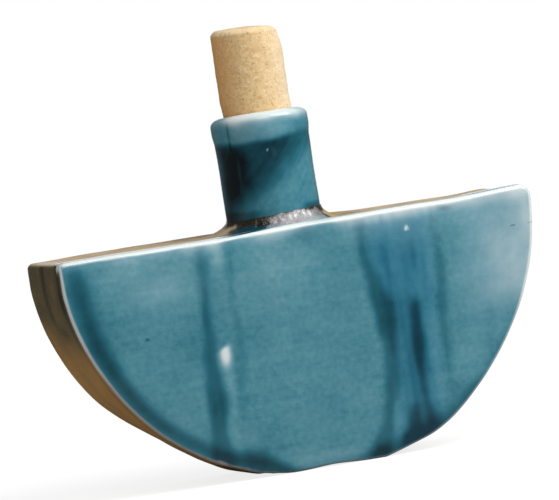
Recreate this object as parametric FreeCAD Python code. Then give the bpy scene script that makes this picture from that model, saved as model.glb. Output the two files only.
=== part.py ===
"""Slab-built half-moon pilgrim flask with a short neck, a raised lip collar and a cork stopper.

The frame stands on the flat foot: origin at the middle of the foot, +Z up, the glazed front face towards -Y.
"""

import FreeCAD, Part
import math
import os

# Driving dimensions of the body, millimetres
body_radius = 86.0  # round of the half-moon, centred on the middle of the top plane
foot_cut = 2.5  # how far the flat foot cuts into the round bottom
body_depth = 43.0  # front face to back face
face_wall = 6.0  # front and back slabs
strip_wall = 6.0  # strip bent round the half-moon
top_wall = 6.0  # flat deck that carries the neck
deck_hole_diameter = 18.0  # hole in the deck under the neck
corner_radius = 3.5  # the two top corners, seen from the front
arris_radius = 1.6  # softened outer edge of the two faces

# Driving dimensions of the neck and its lip
neck_shift = -1.6  # the neck stands a little left of the middle
neck_wall = 4.45  # bore to outside
neck_height = 40.0  # top plane to the lip
collar_step = 0.5  # how far the collar stands out from the neck
collar_height = 9.5
collar_step_round = 0.5  # under edge of the collar
lip_outer_round = 3.0
lip_inner_round = 0.8

# Driving dimensions of the coils that are pressed into the seams
luting_reach_along = 9.0  # coil round the foot of the neck, smeared out along the deck
luting_reach_across = 3.3  # the same towards the two faces
luting_height = 6.0
luting_land = 0.4  # blunt edge left where the coil is smeared out
seam_coil_leg = 4.0  # coils in the corners inside the body
seam_coil_land = 0.6

# Driving dimensions of the stopper
cork_diameter = 24.0
cork_length = 45.0
cork_seat = 15.0  # length of cork inside the neck
cork_bevel = 1.8
cork_fit = 0.05  # radial clearance between cork and bore

# Places that follow from the driving dimensions
body_height = body_radius - foot_cut
half_depth = body_depth / 2
cavity_half = half_depth - face_wall
cavity_radius = body_radius - strip_wall
cavity_top = body_height - top_wall
bore_radius = cork_diameter / 2 + cork_fit
neck_radius = bore_radius + neck_wall
collar_radius = neck_radius + collar_step
lip_z = body_height + neck_height
collar_z = lip_z - collar_height

UP = FreeCAD.Vector(0, 0, 1)


def point(x, y, z):
    return FreeCAD.Vector(x, y, z)


def on_circle(radius, y, angle):
    """Point at an angle below the +X direction, on a circle about the middle of the top plane."""
    return point(radius * math.cos(angle), y, body_height - radius * math.sin(angle))


def moon_face(y, radius, top_z, foot_z, corner=0.0):
    """Half-moon face in the plane at y: top line, rounded or sharp corners, round sides and a flat foot."""
    drop = body_height - top_z
    corner_x = math.sqrt((radius - corner) ** 2 - (drop + corner) ** 2)
    side_start = math.atan2(drop + corner, corner_x)
    side_end = math.asin((body_height - foot_z) / radius)
    side_middle = (side_start + side_end) / 2

    top_right = point(corner_x, y, top_z)
    side_top = on_circle(radius, y, side_start)
    foot_right = on_circle(radius, y, side_end)
    edges = [Part.LineSegment(mirror_x(top_right), top_right)]
    if corner > 0:
        turn = (math.pi / 2 - side_start) / 2
        bend = point(
            corner_x + corner * math.sin(turn), y, top_z - corner + corner * math.cos(turn)
        )
        edges.append(Part.Arc(top_right, bend, side_top))
    side = on_circle(radius, y, side_middle)
    edges.append(Part.Arc(side_top, side, foot_right))
    edges.append(Part.LineSegment(foot_right, mirror_x(foot_right)))
    edges.append(Part.Arc(mirror_x(foot_right), mirror_x(side), mirror_x(side_top)))
    if corner > 0:
        edges.append(Part.Arc(mirror_x(side_top), mirror_x(bend), mirror_x(top_right)))
    return Part.Face(Part.Wire([edge.toShape() for edge in edges]))


def mirror_x(place):
    return point(-place.x, place.y, place.z)


def outer_prism(y_from, y_to):
    """The whole half-moon outline between two depths."""
    face = moon_face(y_from, body_radius, body_height, 0.0, corner_radius)
    return face.extrude(point(0, y_to - y_from, 0))


def cavity_face(y, inset):
    """Outline of the hollow, drawn in from its walls by inset."""
    return moon_face(y, cavity_radius - inset, cavity_top - inset, strip_wall + inset)


def cylinder(radius, z_from, z_to):
    """Cylinder about the neck axis."""
    return Part.makeCylinder(radius, z_to - z_from, point(neck_shift, 0, z_from), UP)


def deck_block():
    """Everything above the underside of the top slab."""
    width = 2 * body_radius
    return Part.makeBox(width, body_depth, top_wall, point(-width / 2, -half_depth, cavity_top))


def edges_on_plane_y(shape, y):
    """Edges that lie wholly in the plane at y."""
    tolerance = 1e-6
    return [
        edge
        for edge in shape.Edges
        if abs(edge.BoundBox.YMin - y) < tolerance and abs(edge.BoundBox.YMax - y) < tolerance
    ]


def circles_at(shape, radius, z):
    """Circular edges of one radius about the neck axis, at one height."""
    tolerance = 1e-6
    return [
        edge
        for edge in shape.Edges
        if isinstance(edge.Curve, Part.Circle)
        and abs(edge.Curve.Radius - radius) < tolerance
        and abs(edge.Curve.Center.z - z) < tolerance
    ]


def face_slab(side):
    """Half-moon slab that closes one face. side is -1 for the front and +1 for the back."""
    outer_y = side * half_depth
    slab = outer_prism(outer_y, outer_y - side * face_wall)
    return slab.makeFillet(arris_radius, edges_on_plane_y(slab, outer_y))


def edge_strip():
    """Strip bent round the half-moon, with the foot pressed flat."""
    hollow = cavity_face(-cavity_half, 0.0).extrude(point(0, 2 * cavity_half, 0))
    return outer_prism(-cavity_half, cavity_half).cut(hollow).cut(deck_block())


def top_slab():
    """Deck between the two faces, with the hole that the neck stands over."""
    deck = outer_prism(-cavity_half, cavity_half).common(deck_block())
    return deck.cut(cylinder(deck_hole_diameter / 2, cavity_top, body_height))


def neck_tube():
    """Plain tube from the deck up to the collar."""
    tube = cylinder(neck_radius, body_height, collar_z)
    return tube.cut(cylinder(bore_radius, body_height, collar_z))


def lip_collar():
    """Thicker ring at the mouth, with a rounded lip."""
    ring = cylinder(collar_radius, collar_z, lip_z).cut(cylinder(bore_radius, collar_z, lip_z))
    ring = ring.makeFillet(lip_outer_round, circles_at(ring, collar_radius, lip_z))
    ring = ring.makeFillet(lip_inner_round, circles_at(ring, bore_radius, lip_z))
    return ring.makeFillet(collar_step_round, circles_at(ring, collar_radius, collar_z))


def luting_outline(z, share):
    """Oval round the neck at one height, where share is how much of the coil's reach is left."""
    reach_along = luting_land + (luting_reach_along - luting_land) * share
    reach_across = luting_land + (luting_reach_across - luting_land) * share
    oval = Part.Ellipse(point(neck_shift, 0, z), neck_radius + reach_along, neck_radius + reach_across)
    return Part.Wire(oval.toShape())


def neck_luting_coil():
    """Coil smeared into a hollow fillet where the neck meets the deck."""
    steps = 6
    hollowness = 2.2  # 1 is a straight slope, more is a deeper hollow
    foot = Part.Face(luting_outline(body_height, 1.0)).extrude(UP * luting_land)
    rise = luting_height - luting_land
    outlines = []
    for step in range(steps + 1):
        climbed = step / steps
        outlines.append(
            luting_outline(body_height + luting_land + rise * climbed, (1 - climbed) ** hollowness)
        )
    flare = Part.makeLoft(outlines, True, False)
    tube = cylinder(neck_radius, body_height, body_height + luting_height)
    return foot.fuse(flare).removeSplitter().cut(tube)


def seam_coil(side):
    """Coil pressed into the corner between one face slab and the walls, all round the hollow."""
    slab_y = side * cavity_half
    free_y = slab_y - side * seam_coil_leg
    block = cavity_face(slab_y, 0.0).extrude(point(0, free_y - slab_y, 0))
    at_slab = cavity_face(slab_y, seam_coil_leg).OuterWire
    at_free_edge = cavity_face(free_y, seam_coil_land).OuterWire
    return block.cut(Part.makeLoft([at_slab, at_free_edge], True, True))


def corner_coil(side):
    """Short coil in the corner between the end of the strip and the deck. side is -1 left, +1 right."""
    drop = body_height - cavity_top
    corner_angle = math.asin(drop / cavity_radius)
    lower_angle = math.asin((drop + seam_coil_leg) / cavity_radius)
    y_from = -(cavity_half - seam_coil_leg)
    corner = on_circle(cavity_radius, y_from, corner_angle)
    middle = on_circle(cavity_radius, y_from, (corner_angle + lower_angle) / 2)
    lower = on_circle(cavity_radius, y_from, lower_angle)
    inner = point(corner.x - seam_coil_leg, y_from, cavity_top)
    if side < 0:
        corner, middle, lower, inner = (mirror_x(p) for p in (corner, middle, lower, inner))
    profile = [
        Part.Arc(corner, middle, lower),
        Part.LineSegment(lower, inner),
        Part.LineSegment(inner, corner),
    ]
    face = Part.Face(Part.Wire([edge.toShape() for edge in profile]))
    return face.extrude(point(0, -2 * y_from, 0))


def cork_stopper():
    """Straight cork, bevelled at both ends, seated in the bore."""
    foot = lip_z - cork_seat
    cork = cylinder(cork_diameter / 2, foot, foot + cork_length)
    ends = [edge for z in (foot, foot + cork_length) for edge in circles_at(cork, cork_diameter / 2, z)]
    return cork.makeChamfer(cork_bevel, ends)


parts = {
    "front_slab": face_slab(-1),
    "back_slab": face_slab(+1),
    "edge_strip": edge_strip(),
    "top_slab": top_slab(),
    "neck_tube": neck_tube(),
    "lip_collar": lip_collar(),
    "neck_luting_coil": neck_luting_coil(),
    "front_seam_coil": seam_coil(-1),
    "back_seam_coil": seam_coil(+1),
    "left_corner_coil": corner_coil(-1),
    "right_corner_coil": corner_coil(+1),
    "cork_stopper": cork_stopper(),
}

os.makedirs("parts", exist_ok=True)
for name, shape in parts.items():
    shape.exportStep(f"parts/{name}.step")
    print(f"{name}: {len(shape.Solids)} solid, valid {shape.isValid()}, {shape.Volume / 1000:.2f} cm3")
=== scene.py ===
"""Looks of the half-moon pilgrim flask: hand-smoothed clay, running glaze and cork, around the fixed frame.

Shapes are worked out in millimetres in the frame's own axes and turned into metres when a mesh is made.
"""

import math

import bmesh
import bpy
import numpy as np
from mathutils import Matrix, Vector, noise


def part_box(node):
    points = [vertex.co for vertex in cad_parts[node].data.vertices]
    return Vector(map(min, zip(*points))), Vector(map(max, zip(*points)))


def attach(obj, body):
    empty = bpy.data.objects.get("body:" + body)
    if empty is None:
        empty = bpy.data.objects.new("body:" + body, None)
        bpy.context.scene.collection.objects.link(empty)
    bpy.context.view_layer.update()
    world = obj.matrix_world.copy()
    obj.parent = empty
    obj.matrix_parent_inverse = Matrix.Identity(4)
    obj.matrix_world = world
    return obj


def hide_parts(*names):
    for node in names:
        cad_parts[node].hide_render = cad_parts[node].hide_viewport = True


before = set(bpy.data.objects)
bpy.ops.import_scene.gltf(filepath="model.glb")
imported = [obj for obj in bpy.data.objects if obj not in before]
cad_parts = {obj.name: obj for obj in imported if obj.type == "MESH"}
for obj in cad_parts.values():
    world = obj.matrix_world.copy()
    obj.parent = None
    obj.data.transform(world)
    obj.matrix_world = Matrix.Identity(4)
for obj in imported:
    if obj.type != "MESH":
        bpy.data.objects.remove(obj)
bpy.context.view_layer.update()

# One seed, so that the wobble of the clay is the same in each run
noise.seed_set(4)

MM = 0.001


def node_box(node):
    """Lowest and highest corner of a node of the frame, in millimetres."""
    low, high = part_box(node)
    return np.array(low) / MM, np.array(high) / MM


# Sizes read from the frame
front_low, front_high = node_box("front_slab")
deck_low, deck_high = node_box("top_slab")
strip_high = node_box("edge_strip")[1]
neck_low, neck_high = node_box("neck_tube")
collar_low, collar_high = node_box("lip_collar")
luting_low, luting_high = node_box("neck_luting_coil")
cork_low, cork_high = node_box("cork_stopper")

deck_z = deck_high[2]
deck_wall = deck_high[2] - deck_low[2]
half_depth = -front_low[1]
cavity_half = deck_high[1]
strip_wall = half_depth - cavity_half
moon_radius = math.hypot(strip_high[0], deck_wall)
neck_x = (neck_low[0] + neck_high[0]) / 2
neck_radius = (neck_high[0] - neck_low[0]) / 2
collar_radius = (collar_high[0] - collar_low[0]) / 2
collar_z = collar_low[2]
lip_z = collar_high[2]
cork_radius = (cork_high[0] - cork_low[0]) / 2

# Sizes that only the looks have
left_corner = 2.4
right_corner = 4
front_arris = 1.3
back_arris = 1.8
relief_room = 0.4  # left in front of the face for the runs of glaze
back_room = 0.2  # left behind the back face
shoulder_drop = 0.4  # how far the face falls away towards its edge
shoulder_width = 4.5
seam_depth = 0.22
seam_width = 1.1
deck_hole_radius = 9  # as in the solid, whose box doesn't show it
lip_tilt = 0.065  # rise of the lip towards the front
lip_sag = 0.1  # unevenness of the lip
lean_reach = 0.5  # the neck leans this far to the left over its height
coil_room = 2.3  # between the luting coil and the front and back of the flask
cork_shift = 0.5  # how far left of its axis the free part of the cork stands
bore_gap = 0.25  # between the cork and the glazed bore
bore = cork_radius + bore_gap
side_steps = 112  # points down each round side of an outline
foot_steps = 40  # points along the foot


# Numbers
def smooth(start, end, value):
    """0 before start, 1 after end, eased between them. start may be the larger."""
    t = np.clip((np.asarray(value, float) - start) / (end - start), 0, 1)
    return t * t * (3 - 2 * t)


def bell(value, centre, half_width):
    """1 at the centre, falling away smoothly on both sides."""
    return np.exp(-(((np.asarray(value, float) - centre) / half_width) ** 2))


def between(value, low, high, ease):
    """1 between low and high, eased to 0 outside them."""
    return smooth(low - ease, low + ease, value) * smooth(high + ease, high - ease, value)


def noise_at(points, size, seed, kind=noise.noise):
    """Smooth noise, about -1 to 1, with features of a given size in millimetres."""
    shift = Vector((seed * 17.3, seed * 5.1, seed * 9.7))
    return np.array([kind(Vector(p) / size + shift) for p in points])


# The half-moon outline and the faces
def moon_edge(x, z):
    """How far a place on the half moon lies inside its outline."""
    drop = deck_z - z
    return np.minimum(np.minimum(moon_radius - np.hypot(x, drop), drop), z)


def turn_angle(x, z):
    """Degrees round the half moon: 0 at the left corner, 90 at the foot, 180 at the right corner."""
    return np.degrees(np.arctan2(deck_z - z, -x))


def corner_of(radius, inset, corner):
    """x of the end of the top line, and the angle below the deck where the round side begins."""
    x = math.sqrt((radius - corner) ** 2 - (inset + corner) ** 2)
    return x, math.asin((inset + corner) / (radius - corner))


def corner_arc(x, top, corner, start, steps):
    """Points round a right-hand corner, from the top line to the side."""
    turn = np.linspace(0, math.pi / 2 - start, steps, endpoint=False)
    return x + corner * np.sin(turn), top - corner + corner * np.cos(turn)


def foot_corner(radius, inset):
    """Angle below the deck and x where the round side meets the foot."""
    angle = math.asin((deck_z - inset) / radius)
    return angle, radius * math.cos(angle)


def moon_ring(inset):
    """Closed outline drawn in from the half moon: along the top, down the right, back along the foot."""
    top_steps, corner_steps = 170, 8
    smallest = 0.05  # corner radius that is kept when the inset has used it up
    radius = moon_radius - inset
    top = deck_z - inset
    right = max(right_corner - inset, smallest)
    left = max(left_corner - inset, smallest)
    right_x, right_start = corner_of(radius, inset, right)
    left_x, left_start = corner_of(radius, inset, left)
    foot_angle, foot_x = foot_corner(radius, inset)

    pieces = [(np.linspace(-left_x, right_x, top_steps, endpoint=False), np.full(top_steps, top))]
    pieces.append(corner_arc(right_x, top, right, right_start, corner_steps))
    angle = np.linspace(right_start, foot_angle, side_steps, endpoint=False)
    pieces.append((radius * np.cos(angle), deck_z - radius * np.sin(angle)))
    pieces.append((np.linspace(foot_x, -foot_x, foot_steps, endpoint=False), np.full(foot_steps, inset)))
    angle = np.linspace(foot_angle, left_start, side_steps, endpoint=False)
    pieces.append((-radius * np.cos(angle), deck_z - radius * np.sin(angle)))
    x, z = corner_arc(left_x, top, left, left_start, corner_steps + 1)
    pieces.append((-x[:0:-1], z[:0:-1]))
    return np.concatenate(pieces, axis=1)


def side_line(inset):
    """Open outline of the strip, from its right end under the deck, round the foot, to its left end."""
    radius = moon_radius - inset
    start = math.asin(deck_wall / radius)
    foot_angle, foot_x = foot_corner(radius, inset)
    down = np.linspace(start, foot_angle, side_steps, endpoint=False)
    up = np.linspace(foot_angle, start, side_steps)
    foot = np.linspace(foot_x, -foot_x, foot_steps, endpoint=False)
    x = [radius * np.cos(down), foot, -radius * np.cos(up)]
    z = [deck_z - radius * np.sin(down), np.full(foot_steps, inset), deck_z - radius * np.sin(up)]
    return np.concatenate(x), np.concatenate(z)


def shoulder(inset):
    """How far a face lies behind its middle at an inset from its edge."""
    return shoulder_drop * math.exp(-inset / shoulder_width)


front_rim = relief_room + shoulder(front_arris)
back_rim = back_room + shoulder(back_arris)


# The hand of the maker
def smeared_clay(x, y):
    """How much higher the deck is where clay from the neck's foot is smeared out to the right."""
    return 0.9 * bell(x, 22, 9) * smooth(-13, -4, y)


def push_in(moved, x, z, depth):
    """Moves points towards the middle of the half moon's top line."""
    radius = np.hypot(x, deck_z - z) + 1e-6
    moved[:, 0] -= depth * x / radius
    moved[:, 2] += depth * (deck_z - z) / radius


def handmade(points):
    """The body's pieces all move by this one field, so their seams still meet."""
    x, y, z = points.T
    drop = deck_z - z
    edge = moon_edge(x, z)
    moved = points + 0.38 * noise_at(points, 38, 1, noise.noise_vector)
    moved += 0.12 * noise_at(points, 11, 2, noise.noise_vector)
    off_foot = smooth(0, 7, z)
    moved[:, 2] = z + (moved[:, 2] - z) * off_foot

    # The back edge is pressed in at the lower left, the edge is drawn in beside the foot,
    # and it bulges at the right and below the left corner
    angle = turn_angle(x, z)
    press = 3 * bell(angle, 54, 14) * smooth(-10, 17, y) + 1.5 * bell(angle, 71, 5)
    press = press - bell(angle, 119, 11) - 0.6 * bell(angle, 14, 12)
    press = press * smooth(14, 4, edge) * off_foot
    press = press * smooth(0.5 * moon_radius, 0.8 * moon_radius, np.hypot(x, drop))
    push_in(moved, x, z, press)

    # The deck's front edge is rolled over and stands higher from the neck to the turned-up right end,
    # and the middle and the front left corner of the foot are lifted
    in_front = smooth(2, -16, y)
    front_lift = 0.9 * smooth(-30, 0, x) + 1.1 * smooth(52, 86, x)
    turned_up = 0.4 * smooth(68, 82, x) * (1 - in_front) + front_lift * in_front
    rolled = 0.45 * smooth(-8, -16, y) - 0.8 * np.clip((-17.5 - y) / 4, 0, 1) ** 2
    moved[:, 2] += (turned_up + rolled) * smooth(18, 1, drop) + smeared_clay(x, y) * smooth(6, 1, drop)
    foot_lift = 0.6 * bell(x, 2, 8) + 0.9 * bell(x, -21, 5) * smooth(0, -14, y)
    moved[:, 2] += foot_lift * smooth(12, 0, z)

    # A smoothed groove runs along the seam between each face and the strip
    groove = seam_depth * bell(np.abs(y), cavity_half, seam_width) * smooth(2, 0, edge) * off_foot
    on_top = drop < 1
    moved[:, 2] -= np.where(on_top, 0.3 * groove, 0)
    push_in(moved, x, z, np.where(on_top, 0, groove))
    moved[:, 0] = np.clip(moved[:, 0], front_low[0], front_high[0])
    moved[:, 1] = np.clip(moved[:, 1], -half_depth, half_depth)
    return moved


# Bands of glaze on the front: depth below the deck, left edge, right edge, strength
THICK_BANDS = [
    [(0, -37, -34, 0.1), (6, -37.8, -33.8, 0.2), (12, -37.8, -33.8, 0.22), (20, -37.8, -34.6, 0.29),
     (29, -38.4, -35.2, 0.23), (34, -38.9, -34.4, 0.19), (42, -39.9, -35, 0.2), (54, -40.4, -33.4, 0.3),
     (60, -40.6, -33.8, 0.31), (66, -40.8, -35, 0.26), (74, -42, -34, 0.16)],
    [(0, -27.2, -25.2, 0.1), (6, -27, -25.2, 0.15), (14, -27.2, -25.4, 0.18), (22, -27.8, -26, 0.13),
     (34, -27.4, -25, 0.08), (42, -28.4, -24.6, 0.11), (48, -29.4, -25.2, 0.12), (56, -29.6, -27.5, 0.11),
     (66, -30, -28, 0.04)],
    [(0, 21, 24, 0.06), (6, 20.6, 23.8, 0.17), (15, 21.4, 25.2, 0.18), (24, 22.4, 27.2, 0.23),
     (31, 23, 29.8, 0.32), (38, 24.2, 30, 0.31), (45, 25, 29.8, 0.25), (55, 24.4, 28.4, 0.22),
     (62, 23, 27.4, 0.23), (70, 21, 25.4, 0.2), (78, 17, 23.5, 0.16), (84, 14, 22, 0.16)],
    [(4, 26, 45, 0), (12, 26, 45.5, 0.06), (26, 27, 45.5, 0.06), (34, 29, 45, 0.03),
     (60, 29, 44, 0.03)],
    [(24, 30, 36, 0), (31, 28.6, 35.4, 0.15), (38, 28.8, 34.8, 0.17), (50, 28.6, 34.4, 0.16),
     (68, 28, 33, 0.1)],
    [(28, 36.8, 39.8, 0), (33, 36.2, 40.4, 0.31), (38, 35.9, 40.2, 0.4), (50, 35.2, 40.2, 0.43),
     (58, 34.6, 40, 0.26), (65, 33.8, 39.6, 0.21), (70, 31, 40.4, 0.25), (78, 28, 40.6, 0.18)],
    [(0, 47, 49.4, 0.02), (8, 46.8, 50.2, 0.1), (22, 47.6, 51.4, 0.17), (45, 45.8, 50, 0.12),
     (60, 44.8, 48, 0.1), (70, 43.5, 46, 0.08)],
]
THIN_BANDS = [
    [(1, -32.2, -27.8, 0.14), (6, -32.4, -27.8, 0.16), (10, -32.8, -28, 0.08), (14, -33, -28.4, -0.05),
     (20, -33.6, -28.8, -0.06), (30, -34.2, -29.4, -0.03), (36, -34.6, -29.8, 0)],
    [(2, -34.4, -33.8, 0.02), (14, -35, -34.4, 0.07), (30, -35, -34.4, 0.05), (36, -34.6, -34, 0)],
    [(4, -29.4, -28.8, 0.02), (16, -29.8, -29.2, 0.06), (32, -30.2, -29.6, 0.04), (37, -30.2, -29.6, 0)],
    [(30, 40.5, 46, 0), (40, 40.6, 45.4, 0.02), (55, 39.9, 44.8, 0.04), (66, 40.5, 44.6, 0.03),
     (71, 41.5, 44, 0.03), (75, 41, 43, 0)],
    [(2, 26, 28, 0.05), (14, 26.6, 28.4, 0.05), (24, 28, 29.6, 0.02), (28, 28, 29.6, 0)],
    [(2, 32.2, 33.6, 0.06), (16, 32.4, 33.6, 0.05), (27, 32.6, 34, 0.07), (33, 32.4, 34.2, 0)],
    [(4, 43.6, 45.6, 0.05), (14, 44.4, 46.4, 0.09), (22, 44.6, 46.8, 0.11), (30, 43.4, 45.2, 0.06)],
    [(60, 26.6, 28.4, 0), (66, 26, 28, 0.03), (74, 25, 27, 0.08), (79, 24, 26, 0.05)],
]
BLUE_BANDS = [
    [(0, 24, 46.5, 0.3), (5, 24, 46.8, 0.6), (12, 24.5, 46.6, 0.95), (24, 26.5, 46.5, 0.95),
     (30, 28, 46.5, 0.85), (40, 30, 46, 0.7), (60, 28.5, 45, 0.6), (72, 24, 43, 0.5)],
]
# Bands along the round edge: degrees round the half moon, inset, half width, strength
EDGE_BANDS = [
    [(0, 4.6, 3.4, 0.1), (5, 5.5, 3.8, 0.24), (14, 5.2, 3.8, 0.33), (28, 3.9, 3.2, 0.34),
     (44, 3.1, 2.5, 0.28), (56, 3.1, 2.7, 0.27), (66, 3, 3.2, 0.34), (73, 3, 3.4, 0.4),
     (77, 2.4, 2.8, 0.34), (82, 1.2, 1.7, 0.24), (88, 0.8, 1.4, 0.16), (94, 0.6, 1.4, 0.06)],
    [(93, 0.5, 2.5, 0.04), (98, 1.4, 3, 0.22), (103, 2.2, 3.6, 0.34), (106, 2, 3.4, 0.26),
     (110, 2.4, 4, 0.36), (115, 1.8, 3.8, 0.3), (121, 1.4, 3, 0.18), (128, 1.2, 2.4, 0.1),
     (140, 1, 2.4, 0.06), (155, 1, 2.4, 0)],
]
# Soft patches on the front: x, depth, half width, half height, change of thickness
PATCHES = [
    (2.5, 2, 4.6, 5, 0.18),
    (29.5, 17, 2.6, 8, 0.08),
    (36.5, 21, 2.2, 9, 0.09),
    (40.3, 16, 1.6, 8, 0.07),
    (33, 9, 1.6, 6, -0.05),
    (40, 24, 1.5, 5, -0.06),
    (-53, 5, 15, 5.5, -0.09),
    (-48, 16, 11, 3, -0.07),
    (-8, 9, 18, 10, -0.09),
    (-66, 17, 8, 9, 0.03),
    (-43, 32, 5, 16, 0.05),
    (-52, 45, 5, 5, 0.05),
    (57, 54, 6, 6, -0.08),
    (60, 12, 8, 9, -0.05),
    (54, 66, 8, 5, 0.08),
    (-59, 30, 0.55, 0.5, 0.4),
    (54.6, 2.4, 2.4, 0.7, 0.45),
]
# Place of the bead on the left run: x, depth
DRIP_HEAD = (-32.2, 38.4)


def along(band, place):
    """What a band's rows say at a place, each row beginning with its own place."""
    places, *columns = zip(*band)
    return [np.interp(place, places, column) for column in columns]


def bands(table, x, depth, soft=2.2):
    """Sum of the bands of a table at each place."""
    total = np.zeros_like(x)
    for band in table:
        left, right, strength = along(band, depth)
        total += strength * between(x, left, right, soft)
    return total


def edge_bands(inset, angle):
    """Sum of the bands along the round edge at each place."""
    total = np.zeros_like(inset)
    for band in EDGE_BANDS:
        middle, width, strength = along(band, angle)
        total += strength * bell(inset, middle, width)
    return total


def drip_head(x, depth):
    """The fat bead on the left run, cut off slantwise above and fading out below."""
    head_x, head_depth = DRIP_HEAD
    top = head_depth - 2 - 0.4 * (x - head_x)
    across = bell(x, head_x + 0.2, 2.5)
    return across * smooth(top - 1.4, top + 1.6, depth) * smooth(head_depth + 8.5, head_depth + 0.5, depth)


def drip_tail(x, depth):
    """The narrow run that the bead has drawn out below itself."""
    head_x, head_depth = DRIP_HEAD
    below = depth - head_depth
    across = bell(x, head_x - 0.5 + 0.05 * below, 1.9)
    return across * smooth(-1, 4, below) * smooth(22, 6, below)


def front_relief(x, depth):
    """Height of the runs above the face."""
    height = 1.6 * bands(THIN_BANDS[1:3], x, depth) + 0.4 * bands(THICK_BANDS, x, depth)
    height += 0.12 * bands(BLUE_BANDS, x, depth, 2.4) + 0.2 * drip_head(x, depth) + 0.12 * drip_tail(x, depth)
    return np.minimum(height, relief_room)


def plain_relief(x, depth):
    """The back has no relief."""
    return np.zeros_like(x)


def trickle(points, seed):
    """Fine noise drawn out downwards, as glaze runs."""
    return noise_at(points * np.array([1, 1, 0.07]), 1.9, seed)


def paint_front(points):
    """Thickness of the glaze, its milkiness and blueness with painted highlights and a painted reflection,
    and where the clay is bare, on the front.
    """
    x, _, z = points.T
    depth = deck_z - z
    arc_inset = moon_radius - np.hypot(x, depth)
    across = x + 0.8 * noise_at(points, 9, 21) + 0.3 * noise_at(points, 4, 22)
    flow = trickle(points, 23)
    tail = drip_tail(x, depth)

    thick_runs = bands(THICK_BANDS, across, depth)
    blue = bands(BLUE_BANDS, across, depth, 2.6)
    thick = 0.45 + 0.035 * noise_at(points, 22, 3) + 0.03 * noise_at(points, 7, 4)
    thick += thick_runs - bands(THIN_BANDS, across, depth)
    thick += edge_bands(arc_inset, turn_angle(x, z))
    for patch_x, patch_depth, width, height, change in PATCHES:
        thick += change * bell(across, patch_x, width) * bell(depth, patch_depth, height)
    # The bead and the narrow run under it are painted lighter: a painted highlight on the raised run
    thick += 0.09 * flow * np.clip(blue + 2 * thick_runs, 0.12, 1) - 0.1 * tail
    milk_and_highlight = front_milk_and_reflection(points, across, depth, flow) + 0.88 * drip_head(x, depth) + 0.1 * tail

    paint = finish_paint(points, np.minimum(thick, 0.9), milk_and_highlight, blue, front_rim, front_arris)
    burnt = 0.65 * bell(x, -38.5, 3) * bell(arc_inset, 0.4, 1.2)
    paint["bare"] = np.maximum(paint["bare"], burnt)
    paint["clay_tone"] += (0.34 - paint["clay_tone"]) * smooth(0.1, 0.5, burnt)
    return paint


def front_milk_and_reflection(points, across, depth, flow):
    """Milky places: a painted reflection over the right end, under the top line, drifts of haze, the foot and
    one white speck.
    """
    x = points[:, 0]
    cloud = noise_at(points, 12, 24) + 0.4 * noise_at(points, 4, 25)
    side_on = smooth(40, 80, x + 6 * noise_at(points, 24, 26))
    # A painted reflection, pale and milky, over the right end of the face
    pale_right_reflection = side_on * smooth(64, 24, depth + 6 * noise_at(points, 16, 28))
    pale_right_reflection = pale_right_reflection * (1 - 0.15 * smooth(68, 82, x) * smooth(34, 12, depth))
    haze = noise_at(points * np.array([0.6, 1, 1]), 17, 29)
    drift = noise_at(points * np.array([0.42, 1, 1]), 8, 30)
    milk_and_highlight = 0.52 * pale_right_reflection * (1 + 0.25 * cloud)
    milk_and_highlight += 0.17 * smooth(7, 1, depth) * smooth(8, 32, x) * (1 - 0.6 * smooth(50, 76, x))
    milk_and_highlight += 0.15 * smooth(0, 0.5, haze) * smooth(50, 8, depth)
    milk_and_highlight += 0.16 * smooth(0.08, 0.5, drift) * smooth(46, 6, depth) * smooth(20, -10, x)
    milk_and_highlight += 0.26 * between(across, 14, 50, 4) * smooth(16, 2, depth) * (1 + 0.4 * flow)
    milk_and_highlight += 0.06 * smooth(70, 84, x) * smooth(58, 36, depth)
    milk_and_highlight += 0.16 * bell(across, -30, 2) * smooth(14, 3, depth)
    milk_and_highlight += 0.28 * bell(depth, 80, 2.6) * between(x, -13, 13, 5)
    return milk_and_highlight + 0.9 * bell(x, 39, 0.7) * bell(depth, 7, 0.7)


# Runs on the back: x, length, half width, strength
BACK_RUNS = [
    (-44, 58, 2.8, 0.22),
    (-18, 84, 3.6, 0.3),
    (-9, 70, 2, 0.14),
    (27, 46, 2.6, 0.22),
    (49, 64, 2.4, 0.2),
]


def paint_back(points):
    """The back is taken as a plainer face with a few runs of its own."""
    x, _, z = points.T
    depth = deck_z - z
    across = x + 1.4 * noise_at(points, 9, 31) + 0.5 * noise_at(points, 4, 32)
    flow = trickle(points, 33)
    thick = 0.48 + 0.06 * noise_at(points, 24, 13) + 0.03 * noise_at(points, 7, 14)
    milk_and_highlight = 0.3 * smooth(-55, -75, x) * between(depth, 8, 40, 10)
    for run_x, length, width, strength in BACK_RUNS:
        middle = run_x + 1.5 * np.sin(depth / 14 + run_x)
        swelling = width * (1 + 0.4 * np.sin(depth / 8 + 2 * run_x))
        reach = smooth(length, length - 14, depth)
        thick += strength * bell(across, middle, swelling) * reach * (1 + 0.5 * flow)
        thick -= 0.4 * strength * bell(across, middle + 2.2 * width, swelling) * reach
        milk_and_highlight += 0.45 * bell(across, middle + 0.5, 1.8) * bell(depth, length - 5, 3.2)
    at_foot = between(turn_angle(x, z), 50, 130, 25)
    thick += 0.3 * bell(moon_radius - np.hypot(x, depth), 3.4, 3.2) * at_foot
    return finish_paint(points, thick, milk_and_highlight, np.zeros_like(x), back_rim, back_arris)


# How the arris looks round the half moon: degrees, paleness, bareness
ARRIS_ANGLES = [0, 12, 30, 45, 62, 75, 90, 120, 140, 150, 162, 172, 180]
ARRIS_PALE = [0.95, 0.9, 0.75, 0.6, 0.45, 0.25, 0.35, 0.62, 0.62, 0.5, 0.42, 0.46, 0.5]
ARRIS_BARE = [0, 0.25, 0.42, 0.5, 0.52, 0.42, 0, 0, 0, 0, 0, 0, 0]


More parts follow.
